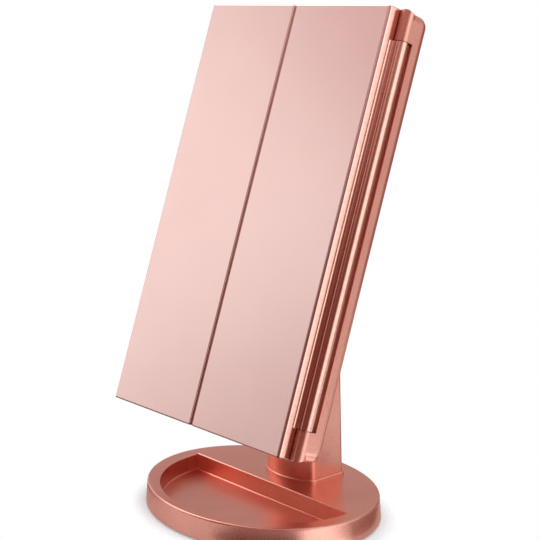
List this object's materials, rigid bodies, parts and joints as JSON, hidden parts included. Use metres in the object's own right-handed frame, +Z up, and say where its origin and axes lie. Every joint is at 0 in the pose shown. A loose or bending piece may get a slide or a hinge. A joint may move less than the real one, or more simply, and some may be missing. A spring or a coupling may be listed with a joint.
{
  "type": "lighted makeup mirror",
  "caption": "Free-standing tri-fold vanity mirror: two doors close over a lit centre mirror, tilting on a stem above an oval base with a storage tray.",
  "frame": {"origin": "on the floor under the middle of the oval base", "axes": "+Z up, the closed doors face -Y, +X to the right of someone standing behind the doors' front face and looking along +Y"},
  "size_m": [0.175, 0.134, 0.3107],
  "materials": {
    "metallic_rose": "metallic flake paint",
    "satin_rose": "satin metallic paint",
    "frame_plastic": "satin",
    "dark_plastic": "fine texture",
    "rubber": "matte",
    "cell_jacket": "gloss",
    "plated_steel": "plated",
    "circuit_board": "satin",
    "led_lens": "clear",
    "frosted_window": "frosted",
    "mirror_glass": "mirror"
  },
  "bodies": {
    "base": {"base_shell": "metallic_rose", "base_plate": "dark_plastic", "plate_screws": "plated_steel", "rubber_feet": "rubber", "battery_holder": "dark_plastic", "battery_cells": "cell_jacket", "battery_contacts": "plated_steel", "power_board": "circuit_board", "usb_socket": "plated_steel", "switch_body": "dark_plastic", "stem": "metallic_rose", "stem_screws": "plated_steel", "tilt_shaft": "plated_steel", "friction_washers": "plated_steel", "pivot_caps": "metallic_rose"},
    "battery_lid": {"battery_lid": "dark_plastic"},
    "switch_knob": {"switch_knob": "dark_plastic"},
    "head": {"tilt_bracket": "metallic_rose", "bracket_screws": "plated_steel", "back_shell": "metallic_rose", "head_screws": "plated_steel", "door_hinge_pins": "plated_steel", "front_frame": "frame_plastic", "centre_mirror": "mirror_glass", "light_diffusers": "frosted_window", "led_boards": "circuit_board", "leds": "led_lens", "touch_sensor": "circuit_board", "control_board": "circuit_board"},
    "right_door": {"right_door_cover": "satin_rose", "right_door_frame": "frame_plastic", "right_door_mirror": "mirror_glass"},
    "left_door": {"left_door_cover": "satin_rose", "left_door_frame": "frame_plastic", "left_lower_mirror": "mirror_glass", "left_upper_mirror": "mirror_glass"}
  },
  "joints": [
    {"name": "head_tilt", "type": "hinge", "parent": "base", "child": "head", "pos_m": [0, 0.0356, 0.18241], "axis": [-1, 0, 0], "range_deg": [-20, 70]},
    {"name": "right_door_hinge", "type": "hinge", "parent": "head", "child": "right_door", "pos_m": [0.0835, -0.00435, 0.18471], "axis": [0, 0.3224, 0.9466], "range_deg": [0, 170]},
    {"name": "left_door_hinge", "type": "hinge", "parent": "head", "child": "left_door", "pos_m": [-0.0835, -0.00435, 0.18471], "axis": [0, -0.3224, -0.9466], "range_deg": [0, 170]},
    {"name": "battery_lid_hinge", "type": "hinge", "parent": "base", "child": "battery_lid", "pos_m": [0, 0.0121, 0.0017], "axis": [-1, 0, 0], "range_deg": [0, 75]},
    {"name": "power_switch_slide", "type": "slide", "parent": "base", "child": "switch_knob", "axis": [1, 0, 0], "range_m": [0, 0.004]}
  ]
}
